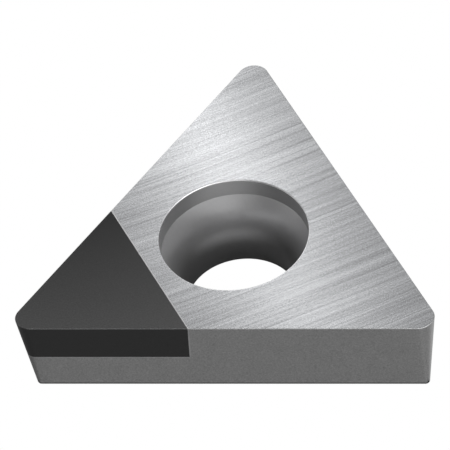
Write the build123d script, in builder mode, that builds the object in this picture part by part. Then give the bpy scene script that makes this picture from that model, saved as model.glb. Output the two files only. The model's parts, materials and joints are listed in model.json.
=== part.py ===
from build123d import *

import os
from math import cos, radians, sin, tan

os.makedirs("parts", exist_ok=True)

# A positive triangular turning insert with one brazed corner tip, in millimetres.
# The origin is on the screw hole's axis at the base, +Z points out of the top face,
# X runs along the front edge, and the tipped corner is the front left one.

# Blank: its sizes are those of the top face, where the cutting edges are
inscribed_circle = 6.35
thickness = 2.38
nose_radius = 0.4
relief_angle = 7.0
base_edge_round = 0.07

# Screw hole: a straight bore, a convex seat for the screw's head, and a straight collar
bore_diameter = 2.8
seat_width = 0.47
seat_angle = 40.0
collar_depth = 0.5
rim_edge_break = 0.03

# Tip: its height, the wall that is left between it and the screw hole's mouth, and the
# braze film on the pocket's floor and back wall
tip_height = 1.19
tip_web = 0.465
braze_thickness = 0.03

# The largest share of a nose's radius at the base that the base round may take
base_round_share = 0.7

# Outline. The flanks lean inwards by the relief angle all round, so each nose is part of
# a cone that is smaller at the base
sides = 3
apex_direction = 90.0
top_inradius = inscribed_circle / 2
corner_distance = top_inradius / cos(radians(180 / sides))
foot_nose_radius = nose_radius - thickness * tan(radians(relief_angle))
base_round_limit = foot_nose_radius * base_round_share if foot_nose_radius > 0 else base_edge_round
base_round = min(base_edge_round, base_round_limit)

# Hole. The seat is an arc that runs into the bore without a corner and meets the collar at
# the seat angle
bore_radius = bore_diameter / 2
mouth_radius = bore_radius + seat_width
seat_radius = seat_width / (1 - cos(radians(seat_angle)))
seat_top = thickness - collar_depth
seat_foot = seat_top - seat_radius * sin(radians(seat_angle))

# Tipped corner. It lies on the X axis of this plane, and the tip's back wall is square to
# that axis
corner_direction = radians(apex_direction + 360 / sides)
corner_plane = Plane(
    origin=(0, 0, 0),
    x_dir=(cos(corner_direction), sin(corner_direction), 0),
    z_dir=(0, 0, 1),
)
tip_back = mouth_radius + tip_web
tip_floor = thickness - tip_height
pocket_back = tip_back - braze_thickness
pocket_floor = tip_floor - braze_thickness


def corner_space(wall_distance, floor_height):
    """The space over the tipped corner, beyond an upright wall and above a floor."""
    with BuildPart() as space:
        with BuildSketch(corner_plane.offset(floor_height)):
            with Locations((wall_distance, 0)):
                Rectangle(corner_distance, 2 * corner_distance, align=(Align.MIN, Align.CENTER))
        extrude(amount=thickness)
    return space.part


pocket_space = corner_space(pocket_back, pocket_floor)
tip_space = corner_space(tip_back, tip_floor)

# Ground blank, drawn upside down because its outline narrows away from the top face
with BuildPart() as ground_blank:
    with BuildSketch():
        RegularPolygon(top_inradius, sides, major_radius=False, rotation=apex_direction)
        fillet(vertices(), radius=nose_radius)
    extrude(amount=thickness, taper=relief_angle)
    mirror(about=Plane.XY.offset(thickness / 2), mode=Mode.REPLACE)
    fillet(faces().sort_by(Axis.Z)[0].edges(), radius=base_round)

# Body: the blank with its screw hole and the pocket for the tip
with BuildPart() as insert_body:
    add(ground_blank.part)
    Hole(bore_radius)
    with BuildSketch(Plane.XZ):
        with BuildLine():
            Polyline(
                (0, seat_foot),
                (0, thickness),
                (mouth_radius + rim_edge_break, thickness),
                (mouth_radius, thickness - rim_edge_break),
                (mouth_radius, seat_top),
            )
            CenterArc(
                center=(bore_radius + seat_radius, seat_foot),
                radius=seat_radius,
                start_angle=180 - seat_angle,
                arc_size=seat_angle,
            )
            Line((bore_radius, seat_foot), (0, seat_foot))
        make_face()
    revolve(axis=Axis.Z, mode=Mode.SUBTRACT)
    add(pocket_space, mode=Mode.SUBTRACT)

# Braze: the film behind and below the tip, flush with the top face and both flanks
with BuildPart() as braze_joint:
    add(ground_blank.part)
    add(pocket_space, mode=Mode.INTERSECT)
    add(tip_space, mode=Mode.SUBTRACT)

# Tip: the corner of the blank beyond the tip's back wall and above its floor
with BuildPart() as cutting_tip:
    add(ground_blank.part)
    add(tip_space, mode=Mode.INTERSECT)

insert_body.part.label = "insert_body"
braze_joint.part.label = "braze_joint"
cutting_tip.part.label = "cutting_tip"

export_step(insert_body.part, "parts/insert_body.step")
export_step(braze_joint.part, "parts/braze_joint.step")
export_step(cutting_tip.part, "parts/cutting_tip.step")
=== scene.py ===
"""Studio scene of a triangular carbide turning insert with one brazed superhard corner.

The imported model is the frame. Its boxes and its record give the sizes, and from these a Geometry
Nodes tree rebuilds the ground blank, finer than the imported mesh. The blank is then parted into the
carbide body, the braze film and the corner tip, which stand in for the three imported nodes.
"""

import json
import logging
import math
from collections.abc import Callable, Mapping, Sequence
from dataclasses import dataclass
from enum import Enum
from typing import Any

import bpy
from bpy.types import Camera, ColorRamp, Material, Mesh, Node, NodeSocket, NodeTree, Object
from mathutils import Matrix, Vector


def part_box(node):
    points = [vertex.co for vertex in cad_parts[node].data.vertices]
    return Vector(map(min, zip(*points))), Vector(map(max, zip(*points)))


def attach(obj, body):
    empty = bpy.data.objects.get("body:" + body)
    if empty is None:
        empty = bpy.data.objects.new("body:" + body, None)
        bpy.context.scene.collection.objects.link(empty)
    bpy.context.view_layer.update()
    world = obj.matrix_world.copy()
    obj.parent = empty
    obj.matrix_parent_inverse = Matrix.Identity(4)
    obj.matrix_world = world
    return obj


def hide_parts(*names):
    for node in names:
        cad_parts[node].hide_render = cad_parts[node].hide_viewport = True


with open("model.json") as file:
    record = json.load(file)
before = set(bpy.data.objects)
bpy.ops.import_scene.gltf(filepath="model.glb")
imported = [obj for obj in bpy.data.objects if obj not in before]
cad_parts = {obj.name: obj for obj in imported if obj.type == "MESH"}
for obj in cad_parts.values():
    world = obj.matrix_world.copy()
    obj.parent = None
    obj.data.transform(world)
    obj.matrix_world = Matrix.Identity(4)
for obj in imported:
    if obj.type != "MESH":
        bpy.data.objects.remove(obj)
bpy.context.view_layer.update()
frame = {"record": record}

LOG = logging.getLogger("insert_scene")
METRES_PER_MM = 0.001
MM_PER_METRE = 1000.0
WHITE = (1.0, 1.0, 1.0)

Place = tuple[float, float, float]
Options = Mapping[int | str, Any]
NO_OPTIONS: Options = {}


class Share(Enum):
    """The share of the ground blank that a piece keeps."""

    BODY = "body"
    FILM = "film"
    TIP = "tip"


class Skin(Enum):
    """The surfaces of a piece that can take a finish of their own."""

    FLANK = "flank"
    FACE = "face"
    HOLE = "hole"
    COLLAR = "collar"
    RIM = "rim"
    EDGE = "edge"
    FOOT = "foot"


Finishes = Mapping[Skin, Material]


def direction(azimuth: float, elevation: float = 0.0) -> Vector:
    """Return the direction at an azimuth from the x axis and an elevation, in degrees."""
    turn, rise = math.radians(azimuth), math.radians(elevation)
    return Vector((math.cos(turn) * math.cos(rise), math.sin(turn) * math.cos(rise), math.sin(rise)))


def add_object(name: str, data: Mesh | Camera) -> Object:
    """Add an object to the scene.

    Args:
        name: The object's name.
        data: Its mesh or camera.

    Returns:
        The object, at the origin.
    """
    made = bpy.data.objects.new(name, data)
    bpy.context.scene.collection.objects.link(made)
    return made


def operator(operation: str, reflected: bool = False) -> Callable[["Value", "Value | float"], "Value"]:
    """Make a Python operator that adds a Math node.

    Args:
        operation: The node's operation.
        reflected: Whether the socket stands on the operator's right.

    Returns:
        The operator's method.
    """

    def join(socket: "Value", term: "Value | float") -> "Value":
        """Return the node's result."""
        operands = (term, socket) if reflected else (socket, term)
        return socket.graph.maths(operation, *operands)

    return join


@dataclass(frozen=True)
class Value:
    """A node's output socket, if it has one, that adds a Math node for each operator used on it."""

    graph: "Graph"
    node: Node
    socket: NodeSocket | None

    def other(self, name: str) -> "Value":
        """Return another output of the same node by its identifier."""
        found = next(s for s in self.node.outputs if s.identifier == name)
        return Value(self.graph, self.node, found)

    __add__ = operator("ADD")
    __radd__ = operator("ADD", reflected=True)
    __sub__ = operator("SUBTRACT")
    __rsub__ = operator("SUBTRACT", reflected=True)
    __mul__ = operator("MULTIPLY")
    __rmul__ = operator("MULTIPLY", reflected=True)
    __truediv__ = operator("DIVIDE")
    __rtruediv__ = operator("DIVIDE", reflected=True)
    __gt__ = operator("GREATER_THAN")
    __lt__ = operator("LESS_THAN")

    def __abs__(self) -> "Value":
        """Return self without its sign."""
        return self.graph.maths("ABSOLUTE", self)


class Graph:
    """Adds nodes to one shader, world or geometry tree."""

    def __init__(self, tree: NodeTree) -> None:
        """Start adding nodes to a tree."""
        self.tree = tree

    def node(self, kind: str, settings: Options = NO_OPTIONS, inputs: Options = NO_OPTIONS) -> Value:
        """Add one node, its settings first and its sockets after them.

        Args:
            kind: The node's type name.
            settings: The node's own properties. "stops" holds a colour ramp's stops.
            inputs: Values or links by the socket's index, identifier or name. A list of values is
                linked to one socket that takes several.

        Returns:
            The node's first output that is in use.
        """
        made = self.tree.nodes.new(kind)
        for name, setting in settings.items():
            if name == "stops":
                self._set_stops(made.color_ramp, setting)
            else:
                setattr(made, name, setting)
        for key, value in inputs.items():
            self._feed(self._socket(made, key), value)
        first = next((s for s in made.outputs if s.enabled), None)
        return Value(self, made, first)

    def maths(self, operation: str, *operands: Value | float) -> Value:
        """Return the result of a Math node."""
        return self.node("ShaderNodeMath", {"operation": operation}, dict(enumerate(operands)))

    def arc(self, radius: Value | float, turn: Value) -> tuple[Value, Value]:
        """Return the two parts of a radius turned by an angle."""
        return self.maths("COSINE", turn) * radius, self.maths("SINE", turn) * radius

    def length(self, x: Value, y: Value) -> Value:
        """Return the length of a level line by its two parts."""
        return self.maths("SQRT", x * x + y * y)

    def vector(self, x: Value | float, y: Value | float, z: Value | float) -> Value:
        """Join three numbers into a vector."""
        return self.node("ShaderNodeCombineXYZ", inputs={"X": x, "Y": y, "Z": z})

    def parts(self, vector: Value) -> tuple[Value, Value, Value]:
        """Split a vector into its X, Y and Z."""
        split = self.node("ShaderNodeSeparateXYZ", inputs={"Vector": vector})
        return split, split.other("Y"), split.other("Z")

    def ramp(self, factor: Value, stops: Sequence[tuple[float, float]], easing: str = "EASE") -> Value:
        """Turn a number from 0 to 1 into another, through the places and levels of a ramp's stops."""
        ramp = self.node("ShaderNodeValToRGB", {"stops": (easing, stops)}, {"Fac": factor})
        return self.node("ShaderNodeSeparateColor", inputs={"Color": ramp})

    @staticmethod
    def _set_stops(ramp: ColorRamp, stops: tuple[str, Sequence[tuple[float, float]]]) -> None:
        """Give a grey ramp its stops.

        Args:
            ramp: The ramp.
            stops: Its interpolation and its pairs of place and level.
        """
        easing, pairs = stops
        ramp.interpolation = easing
        while len(ramp.elements) < len(pairs):
            ramp.elements.new(1.0)
        for element, (place, level) in zip(ramp.elements, pairs):
            element.position = place
            element.color = (level, level, level, 1.0)

    @staticmethod
    def _socket(node: Node, key: int | str) -> NodeSocket:
        """Find a node's input.

        Args:
            node: The node.
            key: The input's index, identifier or name.

        Returns:
            The input.
        """
        if isinstance(key, int):
            return node.inputs[key]
        by_identifier = [s for s in node.inputs if s.identifier == key]
        by_name = [s for s in node.inputs if s.name == key and s.enabled]
        return (by_identifier or by_name)[0]

    def _feed(self, socket: NodeSocket, value: Any) -> None:
        """Link a value to a socket, or set the socket's own value.

        Args:
            socket: The socket.
            value: A link, a list of links, a colour or a plain value.
        """
        if isinstance(value, Value):
            self.tree.links.new(value.socket, socket)
        elif isinstance(value, list):
            for part in value:
                self.tree.links.new(part.socket, socket)
        elif socket.type == "RGBA":
            socket.default_value = (*value, 1.0)
        else:
            socket.default_value = value


class GeometryGraph(Graph):
    """A Geometry Nodes group that takes named sizes and gives one geometry."""

    def __init__(self, name: str, values: Mapping[str, float], output: str) -> None:
        """Add the group with its inputs and its output.

        Args:
            name: The group's name.
            values: The sizes by name, as the inputs' defaults.
            output: The output's name.
        """
        super().__init__(bpy.data.node_groups.new(name, "GeometryNodeTree"))
        self.values = values
        for label, default in values.items():
            socket = self.tree.interface.new_socket(label, in_out="INPUT", socket_type="NodeSocketFloat")
            socket.default_value = default
        self.tree.interface.new_socket(output, in_out="OUTPUT", socket_type="NodeSocketGeometry")
        entry = self.node("NodeGroupInput").node
        self.size = {s.name: Value(self, entry, s) for s in entry.outputs if s.name}


@dataclass(frozen=True)
class InsertSizes:
    """Sizes of the insert in millimetres and degrees.

    Inradius is the inscribed circle's radius and relief the lean of the flanks. Heights run up from
    the base face: the seat's curve leaves the bore at seat_foot, sweeps seat_angle and ends at
    seat_top, where the collar begins. The back walls of the pocket and of the tip lie wall_back and
    tip_back from the hole's axis. The first corner points to apex_turn and the tip's to tip_turn.
    """

    inradius: float
    thickness: float
    nose_radius: float
    relief: float
    bore_radius: float
    seat_foot: float
    seat_top: float
    wall_back: float
    tip_back: float
    pocket_floor: float
    tip_floor: float
    seat_angle: float = 40.0
    base_round: float = 0.07
    rim_round: float = 0.03
    edge_hone: float = 0.014
    apex_turn: float = 90.0
    tip_turn: float = 210.0

    @classmethod
    def from_frame(cls, record: Mapping[str, Any]) -> "InsertSizes":
        """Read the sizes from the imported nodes' boxes and the record's mounts.

        Args:
            record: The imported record.

        Returns:
            The sizes.
        """
        mounts = {mount["name"]: mount for mount in record["mounts"]}
        body_low, body_high = (corner * MM_PER_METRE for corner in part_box("insert_body"))
        film_low, film_high = (corner * MM_PER_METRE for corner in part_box("braze_joint"))
        tip_low, tip_high = (corner * MM_PER_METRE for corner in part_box("cutting_tip"))
        inradius = -body_low.y
        lean = -mounts["front_flank"]["axis"][2]
        return cls(
            inradius=inradius,
            thickness=body_high.z,
            nose_radius=2 * inradius - body_high.y,
            relief=math.degrees(math.asin(lean)),
            bore_radius=mounts["screw_bore"]["dims"]["r_mm"],
            seat_foot=mounts["screw_bore"]["dims"]["length_mm"],
            seat_top=mounts["screw_head_seat"]["pos_m"][2] * MM_PER_METRE,
            wall_back=cls.wall_distance(film_high.x, inradius),
            tip_back=cls.wall_distance(tip_high.x, inradius),
            pocket_floor=film_low.z,
            tip_floor=tip_low.z,
        )

    @staticmethod
    def wall_distance(front_end: float, inradius: float) -> float:
        """Return how far a corner wall is from the axis, from where it meets the front edge."""
        half_corner = math.radians(30.0)
        return -front_end * math.cos(half_corner) + inradius * math.sin(half_corner)

    @property
    def seat_radius(self) -> float:
        """Radius of the seat's curve."""
        return (self.seat_top - self.seat_foot) / math.sin(math.radians(self.seat_angle))

    @property
    def mouth_radius(self) -> float:
        """Radius of the collar above the seat."""
        return self.bore_radius + self.seat_radius * (1 - math.cos(math.radians(self.seat_angle)))

    @property
    def corner_reach(self) -> float:
        """Distance from the axis to a nose's centre."""
        return 2 * (self.inradius - self.nose_radius)

    @property
    def foot_inset(self) -> float:
        """How far the flanks' lean draws the outline in from the top face to the base face."""
        return self.thickness * math.tan(math.radians(self.relief))


SIZES = InsertSizes.from_frame(frame["record"])


@dataclass(frozen=True)
class BlankMesh:
    """How finely the blank is divided.

    Steps run round the outline and rows along the section: across the base and the top face, over
    each rounded edge, up the flank, down the seat, and down the collar and the bore wall. Seams
    closer than merge, in millimetres, are closed.
    """

    nose_steps: int = 20
    side_steps: int = 46
    face_rows: int = 8
    round_rows: int = 6
    flank_rows: int = 14
    seat_rows: int = 24
    wall_rows: int = 8
    merge: float = 1e-4

    @property
    def turn_steps(self) -> int:
        """Steps for one corner and the side after it."""
        return self.nose_steps + self.side_steps

    @property
    def around(self) -> int:
        """Steps round the whole blank."""
        return 3 * self.turn_steps


class BlankTree(GeometryGraph):
    """The Geometry Nodes group that grinds the blank from its named sizes.

    Zones of one grid each follow the blank's section round the hole: base face, base round, flank,
    honed edge, top face, rim round, collar, seat and bore wall. A zone's u runs round the outline
    and its v along the section, so every zone is the same rule with other radii.
    """

    def __init__(self, sizes: InsertSizes, mesh: BlankMesh) -> None:
        """Build the group.

        Args:
            sizes: The insert's sizes, which are the defaults of the group's inputs.
            mesh: How finely it is divided.
        """
        self.sizes = sizes
        self.mesh = mesh
        values = {
            "Inradius": sizes.inradius,
            "Thickness": sizes.thickness,
            "Nose radius": sizes.nose_radius,
            "Relief": math.radians(sizes.relief),
            "Bore radius": sizes.bore_radius,
            "Seat foot": sizes.seat_foot,
            "Seat radius": sizes.seat_radius,
            "Seat angle": math.radians(sizes.seat_angle),
            "Base round": sizes.base_round,
            "Rim round": sizes.rim_round,
            "Edge hone": sizes.edge_hone,
            "Apex turn": math.radians(sizes.apex_turn),
        }
        super().__init__("ground_blank", values, "Blank")
        self._lay_outline()
        self._join_zones()

    def _lay_outline(self) -> None:
        """Work out the top outline's point, its outward direction and the hole's direction."""
        size, mesh = self.size, self.mesh
        x, y, _ = self.parts(self.node("GeometryNodeInputPosition"))
        self.v = y + 0.5
        step = self.maths("ROUND", (x + 0.5) * mesh.around)
        corner = self.maths("FLOOR", (step + 0.5) / mesh.turn_steps)
        local = step - corner * mesh.turn_steps
        third = math.tau / 3
        corner_turn = size["Apex turn"] + corner * third
        turned = self.maths("MINIMUM", local, mesh.nose_steps) * (third / mesh.nose_steps)
        facing = corner_turn - third / 2 + turned
        self.out_x, self.out_y = self.arc(1.0, facing)
        run = self.maths("MAXIMUM", (local - mesh.nose_steps) * (2 / mesh.side_steps) - 1, -1.0)
        nose = size["Nose radius"]
        half_side = (size["Inradius"] - nose) * math.sqrt(3)
        half_angle = self.maths("ARCTANGENT", half_side / size["Inradius"])
        along = self.maths("TANGENT", run * half_angle) * size["Inradius"] + half_side
        nose_x, nose_y = self.arc((size["Inradius"] - nose) * 2, corner_turn)
        self.top_x = nose_x + self.out_x * nose - self.out_y * along
        self.top_y = nose_y + self.out_y * nose + self.out_x * along
        length = self.length(self.top_x, self.top_y)
        self.hole_x = self.top_x / length
        self.hole_y = self.top_y / length

    def _zone(self, rows: int, x: Value, y: Value, height: Value | float) -> Value:
        """Add a zone.

        Args:
            rows: Rows along the section.
            x: Where its points lie along x.
            y: Where they lie along y.
            height: Their height.

        Returns:
            The zone's mesh.
        """
        columns = self.mesh.around + 1
        lengths = {"Size X": 1.0, "Size Y": 1.0, "Vertices X": columns, "Vertices Y": rows + 1}
        grid = self.node("GeometryNodeMeshGrid", inputs=lengths)
        place = {"Geometry": grid, "Position": self.vector(x, y, height)}
        return self.node("GeometryNodeSetPosition", inputs=place)

    def _outline(self, rows: int, inset: Value, height: Value) -> Value:
        """Add a zone along the outline, drawn in by an inset."""
        return self._zone(rows, self.top_x - self.out_x * inset, self.top_y - self.out_y * inset, height)

    def _ring(self, rows: int, radius: Value, height: Value) -> Value:
        """Add a zone round the hole's axis."""
        return self._zone(rows, self.hole_x * radius, self.hole_y * radius, height)

    def _face(self, inset: Value, radius: Value, to_ring: Value, height: Value | float) -> Value:
        """Add a level zone between the outline and the hole.

        Args:
            inset: How far the outline is drawn in.
            radius: The hole's radius.
            to_ring: Each point's share of the way to the hole.
            height: The face's height.

        Returns:
            The zone's mesh.
        """
        edge_x = self.top_x - self.out_x * inset
        edge_y = self.top_y - self.out_y * inset
        x = edge_x + (self.hole_x * radius - edge_x) * to_ring
        y = edge_y + (self.hole_y * radius - edge_y) * to_ring
        return self._zone(self.mesh.face_rows, x, y, height)

    def _join_zones(self) -> None:
        """Add the zones in order along the section, join them and close the seams."""
        size, mesh, v = self.size, self.mesh, self.v
        quarter = math.pi / 2
        relief, thickness, bore = size["Relief"], size["Thickness"], size["Bore radius"]
        slope = self.maths("TANGENT", relief)
        lean, lift = self.arc(1.0, relief)
        eased = v * v * (3.0 - 2.0 * v)

        foot = size["Base round"]
        foot_centre = (thickness - foot) * slope + foot / lean
        foot_out, foot_up = self.arc(foot, (v - 1.0) * quarter - relief * v)

        hone = size["Edge hone"]
        hone_centre = hone * slope + hone / lean
        hone_out, hone_up = self.arc(hone, v * quarter - relief * (1.0 - v))

        flank_low = foot - lift * foot
        flank_high = thickness - hone - lift * hone
        flank = flank_low + (flank_high - flank_low) * eased

        seat = size["Seat radius"]
        seat_in, seat_up = self.arc(seat, size["Seat angle"] * (1.0 - v))
        mouth_in, mouth_up = self.arc(seat, size["Seat angle"])
        mouth = bore + (seat - mouth_in)
        seat_top = size["Seat foot"] + mouth_up

        rim = size["Rim round"]
        collar_top = thickness - rim
        rim_up, rim_in = self.arc(rim, v * quarter)

        zones = [
            self._face(foot_centre, bore, 1.0 - v, 0.0),
            self._outline(mesh.round_rows, foot_centre - foot_out, foot_up + foot),
            self._outline(mesh.flank_rows, (thickness - flank) * slope, flank),
            self._outline(mesh.round_rows, hone_centre - hone_out, hone_up + (thickness - hone)),
            self._face(hone_centre, mouth + rim, v, thickness),
            self._ring(mesh.round_rows, mouth + (rim - rim_in), collar_top + rim_up),
            self._ring(mesh.wall_rows, mouth, collar_top - (collar_top - seat_top) * eased),
            self._ring(mesh.seat_rows, bore + (seat - seat_in), size["Seat foot"] + seat_up),
            self._ring(mesh.wall_rows, bore, size["Seat foot"] * (1.0 - eased)),
        ]
        joined = self.node("GeometryNodeJoinGeometry", inputs={"Geometry": zones})
        inputs = {"Geometry": joined, "Distance": mesh.merge}
        closed = self.node("GeometryNodeMergeByDistance", inputs=inputs)
        self.node("NodeGroupOutput", inputs={"Blank": closed})


class PieceTree(GeometryGraph):
    """The Geometry Nodes tree of one piece: its share of the blank, its edges and its finishes.

    BLOCK is the width of the blocks that part the blank, as a multiple of the corners' reach. A
    face is level where its normal's upward part is over FLAT, and an edge is crisp over CREASE, in
    degrees. NEAR is the slack in millimetres for finding the faces and the hole, and FOOT the height
    of the painted contact shadow along the foot, as a multiple of the base round.
    """

    BLOCK = 4
    FLAT = 0.99
    NEAR = 0.004
    CREASE = 30.0
    FOOT = 1.4

    def __init__(self, name: str, share: Share, blank: BlankTree, finishes: Finishes) -> None:
        """Build the tree.

        Args:
            name: The piece's name.
            share: The share of the blank that it keeps.
            blank: The blank's group.
            finishes: The material of each surface. FLANK covers what the others leave.
        """
        self.name = name
        self.sizes = sizes = blank.sizes
        values = dict(blank.values) | {
            "Pocket wall": sizes.wall_back,
            "Pocket floor": sizes.pocket_floor,
            "Tip wall": sizes.tip_back,
            "Tip floor": sizes.tip_floor,
            "Tip turn": math.radians(sizes.tip_turn),
        }
        super().__init__(name, values, "Piece")
        inputs = {label: self.size[label] for label in blank.values}
        ground = self.node("GeometryNodeGroup", {"node_tree": blank.tree}, inputs)
        self._finish(self._crease(self._part(ground, share)), finishes)

    def _corner_block(self, wall: Value, floor: Value) -> Value:
        """Add the block of space beyond a wall and above a floor at the tip's corner.

        Args:
            wall: The wall's distance from the axis.
            floor: The floor's height.

        Returns:
            The block, wider and higher than the corner.
        """
        side = self.BLOCK * self.sizes.corner_reach
        block = self.node("GeometryNodeMeshCube", inputs={"Size": (side, side, side)})
        shift = self.vector(wall + side / 2, 0.0, floor + side / 2)
        moved = self.node("GeometryNodeTransform", inputs={"Geometry": block, "Translation": shift})
        turn = self.vector(0.0, 0.0, self.size["Tip turn"])
        return self.node("GeometryNodeTransform", inputs={"Geometry": moved, "Rotation": turn})

    def _cut(self, operation: str, mesh: Value, tool: Value) -> Value:
        """Cut a mesh.

        Args:
            operation: DIFFERENCE or INTERSECT.
            mesh: The mesh.
            tool: The block that cuts it.

        Returns:
            The cut mesh.
        """
        settings = {"operation": operation, "solver": "EXACT"}
        inputs = {"Mesh 1": mesh, "Mesh 2": tool} if operation == "DIFFERENCE" else {"Mesh 2": [mesh, tool]}
        return self.node("GeometryNodeMeshBoolean", settings, inputs)

    def _part(self, blank: Value, share: Share) -> Value:
        """Keep one share of the blank.

        Args:
            blank: The whole blank.
            share: The share to keep.

        Returns:
            That share's mesh.
        """
        tip_block = self._corner_block(self.size["Tip wall"], self.size["Tip floor"])
        if share is Share.TIP:
            return self._cut("INTERSECT", blank, tip_block)
        pocket = self._corner_block(self.size["Pocket wall"], self.size["Pocket floor"])
        if share is Share.BODY:
            return self._cut("DIFFERENCE", blank, pocket)
        return self._cut("DIFFERENCE", self._cut("INTERSECT", blank, pocket), tip_block)

    def _crease(self, mesh: Value) -> Value:
        """Shade the curved surfaces smooth and keep the flat faces and the edges crisp.

        Args:
            mesh: The piece's mesh.

        Returns:
            The shaded mesh.
        """
        _, _, up = self.parts(self.node("GeometryNodeInputNormal"))
        sharp = self.node("GeometryNodeInputMeshEdgeAngle") > math.radians(self.CREASE)
        for domain, where, smooth in (("FACE", True, abs(up) < self.FLAT), ("EDGE", sharp, False)):
            inputs = {"Geometry": mesh, "Selection": where, "Shade Smooth": smooth}
            mesh = self.node("GeometryNodeSetShadeSmooth", {"domain": domain}, inputs)
        return mesh

    def _surfaces(self) -> dict[Skin, Value | bool]:
        """Find the surfaces on the mesh in metres.

        Returns:
            Where each surface lies, as 1 or 0. A later one covers the ones before it.
        """
        size = self.size
        x, y, height = self.parts(self.node("GeometryNodeInputPosition"))
        _, _, up = self.parts(self.node("GeometryNodeInputNormal"))
        level = abs(up) > self.FLAT
        sloped = 1.0 - level
        top = size["Thickness"] * METRES_PER_MM
        middle = top / 2
        on_face = abs(height - middle) > middle - self.NEAR * METRES_PER_MM
        hole_reach = self.sizes.mouth_radius + self.sizes.rim_round + self.NEAR
        inner = self.length(x, y) < hole_reach * METRES_PER_MM
        outside = (1.0 - inner) * sloped
        inside = inner * sloped
        return {
            Skin.FLANK: True,
            Skin.HOLE: inside,
            Skin.COLLAR: inside * (height > self.sizes.seat_top * METRES_PER_MM),
            Skin.RIM: inside * (height > top - size["Rim round"] * METRES_PER_MM),
            Skin.FACE: level * on_face,
            Skin.EDGE: outside * (height > top - size["Edge hone"] * METRES_PER_MM),
            # Painted shadow: the band along the foot that takes the dark contact-shadow colour.
            Skin.FOOT: outside * (height < size["Base round"] * (self.FOOT * METRES_PER_MM)),
        }

    def _finish(self, mesh: Value, finishes: Finishes) -> None:
        """Turn the piece to metres, realise it and give each surface its material.

        Args:
            mesh: The shaded mesh, in millimetres.
            finishes: The material of each surface.
        """
        scaled = self.node("GeometryNodeTransform", inputs={"Geometry": mesh, "Scale": (METRES_PER_MM,) * 3})
        dressed = self.node("GeometryNodeRealizeInstances", inputs={"Geometry": scaled})
        for skin, where in self._surfaces().items():
            if skin in finishes:
                inputs = {"Geometry": dressed, "Selection": where, "Material": finishes[skin]}
                dressed = self.node("GeometryNodeSetMaterial", inputs=inputs)
        self.node("NodeGroupOutput", inputs={"Piece": dressed})

    def make(self) -> Object:
        """Run the tree once and keep its result as a plain mesh.

        Returns:
            The piece, at the origin and in metres, with no modifier left.
        """
        name = self.name
        holder = add_object(f"{name}_holder", bpy.data.meshes.new(f"{name}_holder"))
        modifier = holder.modifiers.new("grind", "NODES")
        modifier.node_group = self.tree
        for item in self.tree.interface.items_tree:
            if item.in_out == "INPUT":
                modifier[item.identifier] = self.values[item.name]
        graph = bpy.context.evaluated_depsgraph_get()
        mesh = bpy.data.meshes.new_from_object(holder.evaluated_get(graph), depsgraph=graph)
        holder.modifiers.remove(modifier)
        bpy.data.objects.remove(holder)
        mesh.name = name
        return add_object(name, mesh)


class MaterialGraph(Graph):
    """A material's nodes, with what the finishes share. Bumps are MARK_DEPTH deep, in millimetres."""

    MARK_DEPTH = 0.004

    def __init__(self, name: str) -> None:
        """Add an empty material.

        Args:
            name: The material's name.
        """
        self.material = bpy.data.materials.new(name)
        self.material.use_nodes = True
        self.material.node_tree.nodes.clear()
        super().__init__(self.material.node_tree)

    def millimetres(self) -> Value:
        """Return the object's own coordinates in millimetres."""
        inputs = {"Vector": self.node("ShaderNodeTexCoord").other("Object"), "Scale": MM_PER_METRE}
        return self.node("ShaderNodeVectorMath", {"operation": "SCALE"}, inputs)

    def specks(self, place: Value, scale: float, detail: float = 1.0, crispness: float = 0.5) -> Value:
        """Return noise round zero, with finer layers as its detail that count by its crispness."""
        inputs = {"Vector": place, "Scale": scale, "Detail": detail, "Roughness": crispness}
        return self.node("ShaderNodeTexNoise", {"noise_dimensions": "3D"}, inputs) - 0.5

    def grey(self, shade: Value, tint: Place = WHITE) -> Value:
        """Return a shade as a colour, with its share in red, green and blue."""
        return self.node("ShaderNodeCombineColor", inputs={i: shade * part for i, part in enumerate(tint)})

    def bump(self, height: Value, strength: float) -> Value:
        """Return the normal over marks of some height."""
        inputs = {"Strength": strength, "Distance": self.MARK_DEPTH * METRES_PER_MM, "Height": height}
        return self.node("ShaderNodeBump", inputs=inputs)

    def finish(self, surface: Options) -> Material:
        """End the material in one Principled shader.

        Args:
            surface: The shader's values and links by socket name.

        Returns:
            The material.
        """
        shader = self.node("ShaderNodeBsdfPrincipled", inputs=surface)
        self.node("ShaderNodeOutputMaterial", inputs={"Surface": shader})
        return self.material

    def glow(self, strength: Value | float, see_through: bool = False) -> Material:
        """End the material in white light.

        Args:
            strength: The light's radiance.
            see_through: Whether what lies behind adds to it.

        Returns:
            The material.
        """
        light = self.node("ShaderNodeEmission", inputs={"Color": WHITE, "Strength": strength})
        if see_through:
            clear = self.node("ShaderNodeBsdfTransparent")
            light = self.node("ShaderNodeAddShader", inputs={0: light, 1: clear})
        self.node("ShaderNodeOutputMaterial", inputs={"Surface": light})
        return self.material


@dataclass(frozen=True)
class Marks:
    """One size of mark: noise drawn out along the grinding direction.

    Length and width are a mark's, in millimetres. The seed is the place in the noise, so that two
    sizes of mark never match. Tone is how much the marks shade the face, depth how far they rise as
    a share of the bump's depth, uneven how much they change the roughness, and detail the number of
    finer layers. With limits, a mark is full where its noise is under the first and gone over the
    second.
    """

    length: float
    width: float
    seed: float
    tone: float
    depth: float = 0.0
    uneven: float = 0.0
    detail: float = 1.0
    limits: tuple[float, float] | None = None

    def noise(self, graph: MaterialGraph, along: Value, across: Value) -> Value:
        """Work out the marks.

        Args:
            graph: The material's graph.
            along: Distance along the grinding direction in millimetres.
            across: Distance across it in millimetres.

        Returns:
            The marks round zero, or with limits from 0 to 1.
        """
        place = graph.vector(along / self.length, across / self.width, self.seed)
        noise = graph.specks(place, 1.0, self.detail)
        if self.limits is None:
            return noise
        full, gone = self.limits
        return graph.ramp(noise + 0.5, [(full, 1.0), (gone, 0.0)])


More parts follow.
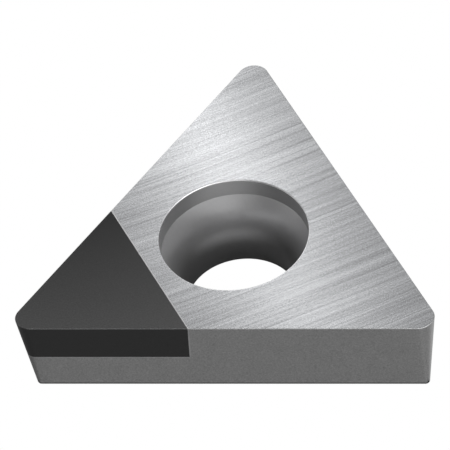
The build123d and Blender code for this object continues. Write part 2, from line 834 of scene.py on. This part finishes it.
@dataclass(frozen=True)
class GroundFace:
    """The top and base faces of the carbide, ground with a cup wheel.

    Level is the reflectance and tint its share in red, green and blue. The marks are bands,
    streaks, lines, hairs and a few dark scratches. They follow the wheel's arcs, which have the
    heading at the insert's middle. Relief is the strength of their bump. Grain is counted per
    millimetre and shades the face by grain_tone.
    """

    name: str = "ground_carbide_face"
    level: float = 0.472
    tint: Place = (0.976, 0.989, 1.012)
    roughness: float = 0.225
    relief: float = 0.35
    wheel_radius: float = 70.0
    heading: float = 28.0
    grain: float = 32.0
    grain_tone: float = 0.70
    marks: tuple[Marks, ...] = (
        Marks(8.0, 0.55, 3.1, tone=0.20),
        Marks(5.0, 0.15, 17.7, tone=0.38, uneven=0.06),
        Marks(4.5, 0.055, 41.3, tone=0.56, depth=0.6, uneven=0.06),
        Marks(2.2, 0.028, 77.9, tone=0.30, depth=0.8, detail=0.0),
        Marks(5.0, 0.10, 8.6, tone=-0.16, depth=-0.5, uneven=0.03, detail=0.0, limits=(0.22, 0.31)),
    )

    def make(self) -> Material:
        """Make the material.

        Returns:
            The material.
        """
        graph = MaterialGraph(self.name)
        place = graph.millimetres()
        paths = self._paths(graph, place)
        noises = [(marks, marks.noise(graph, *paths)) for marks in self.marks]
        plain = 1.0 + self.grain_tone * graph.specks(place, self.grain, 0.0)
        tone = sum((marks.tone * noise for marks, noise in noises), plain)
        uneven = sum(marks.uneven * noise for marks, noise in noises if marks.uneven)
        grooves = sum(marks.depth * noise for marks, noise in noises if marks.depth)
        return graph.finish({
            "Base Color": graph.grey(self.level * tone, self.tint),
            "Metallic": 1.0,
            "Roughness": self.roughness + uneven,
            "Normal": graph.bump(grooves, self.relief),
        })

    def _paths(self, graph: Graph, place: Value) -> tuple[Value, Value]:
        """Measure how far a place is along the wheel's arcs and across them.

        Args:
            graph: The material's graph.
            place: The place in millimetres.

        Returns:
            Both distances in millimetres.
        """
        x, y, _ = graph.parts(place)
        heading, normal = math.radians(self.heading), math.radians(self.heading + 90.0)
        from_x = x - self.wheel_radius * math.cos(normal)
        from_y = y - self.wheel_radius * math.sin(normal)
        across = graph.length(from_x, from_y) - self.wheel_radius
        return x * math.cos(heading) + y * math.sin(heading), across


@dataclass(frozen=True)
class MottledMetal:
    """Metal with a grain: the flanks, the hole's pressed wall, the braze, and the painted highlights and
    painted shadow on the rim, the edges and the foot.

    Level is the reflectance, tint its share in red, green and blue, and metal the share that is
    mirror. Grain and clouds are counted per millimetre, with the grain's finer layers as detail and
    crispness. Contrast and cloud_contrast are how much they shade the metal, uneven is how much the
    grain changes the roughness, and relief is the strength of its bump. As painted shade down the
    hole, the reflectance falls to its depth_level from the height top down to the height foot, in
    millimetres.
    """

    name: str
    level: float
    roughness: float
    metal: float = 1.0
    grain: float = 6.0
    detail: float = 2.0
    crispness: float = 0.6
    contrast: float = 0.5
    uneven: float = 0.15
    relief: float = 0.0
    clouds: float = 1.6
    cloud_contrast: float = 0.0
    tint: Place = (1.0, 1.0, 1.01)
    depth_level: float = 1.0
    foot: float = 0.6
    top: float = 1.6

    def make(self) -> Material:
        """Make the material.

        Returns:
            The material.
        """
        graph = MaterialGraph(self.name)
        place = graph.millimetres()
        grain = graph.specks(place, self.grain, self.detail, self.crispness)
        tone = 1.0 + self.contrast * grain
        if self.cloud_contrast:
            tone = tone + self.cloud_contrast * graph.specks(place, self.clouds)
        # Painted shade: the colour darkens towards the bottom of the hole, where shade falls.
        if self.depth_level < 1.0:
            _, _, height = graph.parts(place)
            rise = (height - self.foot) / (self.top - self.foot)
            tone = tone * graph.ramp(rise, [(0.0, self.depth_level), (1.0, 1.0)])
        surface = {
            "Base Color": graph.grey(self.level * tone, self.tint),
            "Metallic": self.metal,
            "Roughness": self.roughness + self.uneven * grain,
        }
        if self.relief:
            surface["Normal"] = graph.bump(grain, self.relief)
        return graph.finish(surface)


@dataclass(frozen=True)
class SuperhardFinish:
    """The dark superhard corner, ground on its flanks, with a painted sheen on top that fades back from the
    front edge.

    Ground, light and dark are reflectances: the flanks', and those of the top's painted sheen at the
    front edge and from some depth behind it. The front edge lies at y = front, in millimetres as the
    depth. The top is where the normal's upward part is over top. Grain is counted per millimetre and
    shades the corner by grain_tone, and uneven is how much it changes the roughness.
    """

    front: float
    depth: float
    name: str = "superhard_compact"
    ground: float = 0.0148
    light: float = 0.058
    dark: float = 0.001
    top: float = 0.9
    roughness: float = 0.30
    uneven: float = 0.08
    ior: float = 1.42
    grain: float = 26.0
    grain_tone: float = 0.8

    def make(self) -> Material:
        """Make the material.

        Returns:
            The material.
        """
        graph = MaterialGraph(self.name)
        place = graph.millimetres()
        grain = graph.specks(place, self.grain)
        _, y, _ = graph.parts(place)
        _, _, up = graph.parts(graph.node("ShaderNodeNewGeometry").other("Normal"))
        # Painted sheen: the top's colour fades from light at the front edge to dark behind it, standing in
        # for a reflection.
        painted_sheen = graph.ramp((y - self.front) / self.depth, [(0.0, self.light), (1.0, self.dark)], "LINEAR")
        level = self.ground + (painted_sheen - self.ground) * (up > self.top)
        return graph.finish({
            "Base Color": graph.grey(level * (1.0 + self.grain_tone * grain)),
            "Metallic": 0.0,
            "Roughness": self.roughness + self.uneven * grain,
            "IOR": self.ior,
        })


@dataclass(frozen=True)
class Piece:
    """One visible piece: its share of the blank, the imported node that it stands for, and its looks."""

    name: str
    share: Share
    node: str
    slot: str
    finishes: Finishes

    def build(self, blank: BlankTree) -> None:
        """Make the piece from the blank and set it in the frame.

        Args:
            blank: The blank's group.
        """
        made = PieceTree(self.name, self.share, blank, self.finishes).make()
        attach(made, "root")
        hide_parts(self.node)
        LOG.info("%s: %d faces, stands for %s", self.name, len(made.data.polygons), self.node)


@dataclass(frozen=True)
class Insert:
    """The whole insert: the carbide body, the braze film and the corner tip.

    The last field is how far behind the front edge the corner's top is painted lighter, as a painted sheen,
    in inradii.
    """

    sizes: InsertSizes
    mesh: BlankMesh = BlankMesh()
    sheen_reach: float = 1.2

    def build(self) -> None:
        """Build and dress the three pieces."""
        wall = {"grain": 14.0, "contrast": 0.10, "uneven": 0.06}
        # Painted shade and light in the hole: the seat's colour darkens down the hole, and the collar is a
        # lighter copy of the same pressed carbide.
        seat = MottledMetal("pressed_carbide_seat", 0.525, 0.33, metal=0.80, depth_level=0.75, **wall)
        collar = MottledMetal("pressed_carbide_collar", 0.59, 0.30, metal=0.65, **wall)
        fine = {"grain": 26.0, "detail": 1.0, "contrast": 0.80, "uneven": 0.14, "relief": 0.25}
        flank = MottledMetal("ground_carbide_flank", 0.437, 0.36, cloud_contrast=0.10, tint=WHITE, **fine)
        carbide = {
            Skin.FLANK: flank.make(),
            Skin.FACE: GroundFace().make(),
            Skin.HOLE: seat.make(),
            Skin.COLLAR: collar.make(),
            # Painted highlight: the rim's round has a far lighter colour than the hole's wall, to show as a
            # bright line.
            Skin.RIM: MottledMetal("brushed_rim", 0.90, 0.22).make(),
            # Painted highlight: the honed edge has a lighter colour than the face and the flank, to show as
            # a light line.
            Skin.EDGE: MottledMetal("honed_edge", 0.60, 0.25).make(),
            # Painted shadow: the foot is much darker than the flank, as a contact shadow along the base.
            Skin.FOOT: MottledMetal("dull_foot", 0.20, 0.45).make(),
        }
        pits = {"grain": 9.0, "detail": 1.0, "crispness": 0.5, "contrast": 0.3, "uneven": 0.2}
        braze = {Skin.FLANK: MottledMetal("braze_metal", 0.52, 0.42, tint=(0.99, 0.99, 1.0), **pits).make()}
        compact = {
            Skin.FLANK: SuperhardFinish(-self.sizes.inradius, self.sheen_reach * self.sizes.inradius).make(),
            # Painted glint: the tip's honed edge is a light metal on the dark compact, to show as a light
            # line.
            Skin.EDGE: MottledMetal("keen_edge", 0.20, 0.25).make(),
        }
        blank = BlankTree(self.sizes, self.mesh)
        for piece in (
            Piece("ground_body", Share.BODY, "insert_body", "carbide", carbide),
            Piece("braze_film", Share.FILM, "braze_joint", "braze", braze),
            Piece("corner_tip", Share.TIP, "cutting_tip", "superhard", compact),
        ):
            piece.build(blank)


class Sheets(Enum):
    """The kinds of ray that pass a sheet on the stage."""

    SEEN_ALONE = ("glossy", "diffuse", "shadow", "transmission")
    MIRRORED_ALONE = ("camera", "shadow")


def ring(count: int, radius: float, height: float, start: float = 0.0) -> list[Place]:
    """Return some points evenly round the upright axis, the first in the start's direction."""
    turns = [math.radians(start) + math.tau * step / count for step in range(count)]
    return [(radius * math.cos(turn), radius * math.sin(turn), height) for turn in turns]


def stage_sheet(
    points: Sequence[Place],
    faces: Sequence[Sequence[int]],
    name: str,
    material: Material,
    passed: Sheets,
) -> Object:
    """Put a sheet on the stage.

    Args:
        points: Its points in millimetres.
        faces: Its faces.
        name: Its name.
        material: Its glow.
        passed: The kinds of ray that pass it.

    Returns:
        The sheet, at the origin.
    """
    mesh = bpy.data.meshes.new(name)
    mesh.from_pydata([[METRES_PER_MM * part for part in point] for point in points], [], faces)
    mesh.materials.append(material)
    sheet = add_object(name, mesh)
    for kind in passed.value:
        setattr(sheet, f"visible_{kind}", False)
    return sheet


@dataclass(frozen=True)
class Card:
    """A soft light card: it adds light to what lies behind it and fades out at its edges.

    Half its length and width are in millimetres. Level is the radiance at its middle, core the
    share of both halves that keeps it, and slope how much brighter the card grows along its length,
    as a share of its level per millimetre.
    """

    name: str
    half_length: float
    half_width: float
    level: float
    core: float = 0.0
    slope: float = 0.0

    def build(self, centre: Vector, towards: Vector, along: Vector) -> None:
        """Hang the card, unseen by the camera.

        Args:
            centre: Its middle in millimetres.
            towards: The point that it faces.
            along: The direction that its length follows, as far as its facing lets it.
        """
        signs = ((-1, -1), (1, -1), (1, 1), (-1, 1))
        corners = [(x * self.half_length, y * self.half_width, 0.0) for x, y in signs]
        card = stage_sheet(corners, [(0, 1, 2, 3)], self.name, self._light(), Sheets.MIRRORED_ALONE)
        facing = (towards - centre).normalized()
        side = facing.cross(along).normalized()
        turned = Matrix((side.cross(facing), side, facing)).transposed().to_4x4()
        card.matrix_world = Matrix.Translation(centre * METRES_PER_MM) @ turned

    def _light(self) -> Material:
        """Make the card's light, which fades from its core to its edges.

        Returns:
            Its material.
        """
        graph = MaterialGraph(self.name)
        x, y, _ = graph.parts(graph.millimetres())
        strength = graph.maths("MAXIMUM", x * (self.slope * self.level) + self.level, 0.0)
        for place, half in ((x, self.half_length), (y, self.half_width)):
            strength = strength * graph.ramp(abs(place) / half, [(self.core, 1.0), (1.0, 0.0)])
        return graph.glow(strength, see_through=True)


@dataclass(frozen=True)
class Paper:
    """The white paper that the camera sees, and the shade under the insert that the metal mirrors.

    Lengths are in millimetres. Reach is the radius of the paper and its dome, and drop is how far
    the paper lies under the base face. Hole_reach is the radius of the paper that the hole's wall
    mirrors, hole_level its radiance at the middle, hole_tilt how that grows along x and y, and
    hole_fade its shares from the middle to the rim. The dark under the insert lies contact_drop
    lower and shows beyond the insert's foot by contact_margin.
    """

    sizes: InsertSizes
    reach: float = 400.0
    drop: float = 0.01
    disc_points: int = 64
    dome_columns: int = 48
    dome_rows: int = 12
    hole_reach: float = 1.4
    hole_level: float = 0.32
    hole_tilt: tuple[float, float] = (0.16, -0.34)
    hole_fade: tuple[tuple[float, float], ...] = ((0.6, 1.0), (1.0, 0.1))
    hole_least: float = 0.01
    contact_drop: float = 0.005
    contact_margin: float = 0.02
    contact_level: float = 0.02

    def build(self) -> None:
        """Add the floor, the dome over it and the mirrored shade."""
        count = self.disc_points
        disc = [range(count)]
        paper = MaterialGraph("paper_white").glow(1.0)
        stage_sheet(ring(count, self.reach, -self.drop), disc, "paper_floor", paper, Sheets.SEEN_ALONE)
        self._dome()
        reach = 2 * (self.sizes.inradius - self.sizes.foot_inset + self.contact_margin)
        corners = ring(3, reach, -self.drop - self.contact_drop, self.sizes.apex_turn)
        dark = MaterialGraph("contact_dark").glow(self.contact_level)
        stage_sheet(corners, [(0, 1, 2)], "contact_shade", dark, Sheets.MIRRORED_ALONE)
        hole = ring(count, self.hole_reach, -self.drop)
        stage_sheet(hole, disc, "hole_floor", self._hole_light(), Sheets.MIRRORED_ALONE)

    def _dome(self) -> None:
        """Add the half globe over the paper, facing inwards."""
        columns, rows = self.dome_columns, self.dome_rows
        points = []
        faces = []
        for row in range(rows + 1):
            rise = math.pi / 2 * row / rows
            points += ring(columns, self.reach * math.cos(rise), self.reach * math.sin(rise))
        for low in range(0, rows * columns, columns):
            high = low + columns
            for column in range(columns):
                beside = (column + 1) % columns
                faces.append((low + column, high + column, high + beside, low + beside))
        stage_sheet(points, faces, "paper_dome", MaterialGraph("dome_white").glow(1.0), Sheets.SEEN_ALONE)

    def _hole_light(self) -> Material:
        """Make the paper under the hole: lit from behind, dark under the bore's edge.

        Returns:
            Its material.
        """
        graph = MaterialGraph("hole_floor")
        x, y, _ = graph.parts(graph.millimetres())
        along_x, along_y = self.hole_tilt
        tilted = graph.maths("MAXIMUM", self.hole_level + x * along_x + y * along_y, 0.0)
        share = graph.length(x, y) / self.hole_reach
        return graph.glow(tilted * graph.ramp(share, self.hole_fade) + self.hole_least)


@dataclass(frozen=True)
class Glow:
    """A soft light far away in the room.

    Its azimuth runs in degrees from the x axis towards the y axis, and its elevation up from the
    horizon. In its spread, in degrees, it falls to six tenths. Level is the radiance at its middle,
    and a level under zero takes light away.
    """

    azimuth: float
    elevation: float
    spread: float
    level: float

    def strength(self, graph: Graph, looking: Value) -> Value:
        """Work out the light's radiance in a direction.

        Args:
            graph: The room's graph.
            looking: The direction.

        Returns:
            The radiance.
        """
        inputs = {0: looking, 1: direction(self.azimuth, self.elevation)}
        turned_by = graph.node("ShaderNodeVectorMath", {"operation": "DOT_PRODUCT"}, inputs).other("Value")
        fall = (turned_by - 1.0) / math.radians(self.spread) ** 2
        return self.level * graph.maths("EXPONENT", fall)


@dataclass(frozen=True)
class Studio:
    """The soft studio light: a grey room with soft lights, and three cards near the insert.

    Mirror_spot is the place on the top face where the bright band is widest, and lay_heading the
    direction of the grinding marks, which the band crosses. The two cards of the band hang
    band_distance along the mirrored view. The rim's card hangs in front, for the glint on the
    hole's rim: rim_distance away and to the rim_side. Upper_level and lower_level are the room's
    radiance above and below the horizon, with a step between them whose half height is horizon, as
    a share of the room's height. The lights stand behind, in front, at the right and overhead, then
    come the light that the paper throws up, a faint one at the left, and the room's dark left.
    """

    mirror_spot: Place
    lay_heading: float = 27.0
    band_distance: float = 20.0
    band_card: Card = Card("band_card", 15.0, 1.8, 1.99, slope=0.026)
    band_halo: Card = Card("band_halo", 15.0, 6.0, 0.51, slope=0.100)
    rim_card: Card = Card("rim_card", 30.0, 4.0, 3.6, core=0.3)
    rim_side: Place = (-0.05, -0.66, 0.75)
    rim_distance: float = 60.0
    upper_level: float = 0.27
    lower_level: float = 0.20
    horizon: float = 0.05
    least: float = 0.02
    lights: tuple[Glow, ...] = (
        Glow(112.0, 16.0, 15.5, 1.6),
        Glow(289.0, -8.0, 25.0, 1.1),
        Glow(339.0, 60.0, 16.0, 1.2),
        Glow(14.0, 70.0, 16.0, 1.6),
        Glow(48.0, -50.0, 20.0, 0.55),
        Glow(180.0, 30.0, 18.0, 0.4),
        Glow(201.0, 50.0, 55.0, -0.14),
    )

    def build(self, mirrored: Vector) -> None:
        """Add the room's light and the cards.

        Args:
            mirrored: Direction in which the top face mirrors the camera's view.
        """
        spot = Vector(self.mirror_spot)
        for card in (self.band_card, self.band_halo):
            card.build(spot + mirrored * self.band_distance, spot, direction(self.lay_heading + 90.0))
        in_front = spot + Vector(self.rim_side) * self.rim_distance
        self.rim_card.build(in_front, spot, direction(0.0))
        self._room()

    def _room(self) -> None:
        """Light the room."""
        world = bpy.data.worlds.new("grey_room")
        world.use_nodes = True
        world.node_tree.nodes.clear()
        graph = Graph(world.node_tree)
        looking = graph.node("ShaderNodeTexCoord").other("Generated")
        _, _, up = graph.parts(looking)
        step = [(0.5 - self.horizon, self.lower_level), (0.5 + self.horizon, self.upper_level)]
        level = graph.ramp(up * 0.5 + 0.5, step)
        for light in self.lights:
            level = light.strength(graph, looking) + level
        lit = graph.maths("MAXIMUM", level, self.least)
        shader = graph.node("ShaderNodeBackground", inputs={"Color": WHITE, "Strength": lit})
        graph.node("ShaderNodeOutputWorld", inputs={"Surface": shader})
        bpy.context.scene.world = world


@dataclass(frozen=True)
class PhotoCamera:
    """The camera at the photograph's angle, with its lengths in millimetres and angles in degrees.

    It looks at the aim on the top face, turned by the azimuth round the insert from the FRONT, and
    rolled about its view. It sees from nearest to farthest.
    """

    FRONT = 270.0

    aim: Place
    azimuth: float = 11.0587
    elevation: float = 46.0921
    roll: float = -8.2070
    distance: float = 151.474
    lens: float = 485.900
    sensor: float = 36.0
    nearest: float = 10.0
    farthest: float = 2000.0

    @property
    def back(self) -> Vector:
        """Direction from the insert to the camera."""
        return direction(self.FRONT + self.azimuth, self.elevation)

    @property
    def mirrored(self) -> Vector:
        """Direction in which a level face mirrors the view."""
        return Vector((-self.back.x, -self.back.y, self.back.z))

    def build(self) -> None:
        """Add the camera and make it the scene's own."""
        right = direction(self.azimuth)
        upright = Matrix((right, self.back.cross(right), self.back)).transposed()
        rolled = upright @ Matrix.Rotation(math.radians(self.roll), 3, "Z")
        data = bpy.data.cameras.new("photo_camera")
        data.lens = self.lens
        data.sensor_width = self.sensor
        data.clip_start = self.nearest * METRES_PER_MM
        data.clip_end = self.farthest * METRES_PER_MM
        camera = add_object("photo_camera", data)
        eye = (Vector(self.aim) + self.back * self.distance) * METRES_PER_MM
        camera.matrix_world = Matrix.Translation(eye) @ rolled.to_4x4()
        bpy.context.scene.camera = camera


def main() -> None:
    """Build the insert, the camera, the paper and the studio."""
    logging.basicConfig(level=logging.INFO, format="%(name)s %(message)s")
    Insert(SIZES).build()
    camera = PhotoCamera(aim=(-0.24954, 0.33045, SIZES.thickness))
    camera.build()
    Paper(SIZES).build()
    Studio(mirror_spot=(0.66, 0.08, SIZES.thickness)).build(camera.mirrored)
    view = bpy.context.scene.view_settings
    view.view_transform = "Standard"
    view.look = "None"


if __name__ == "__main__":
    main()
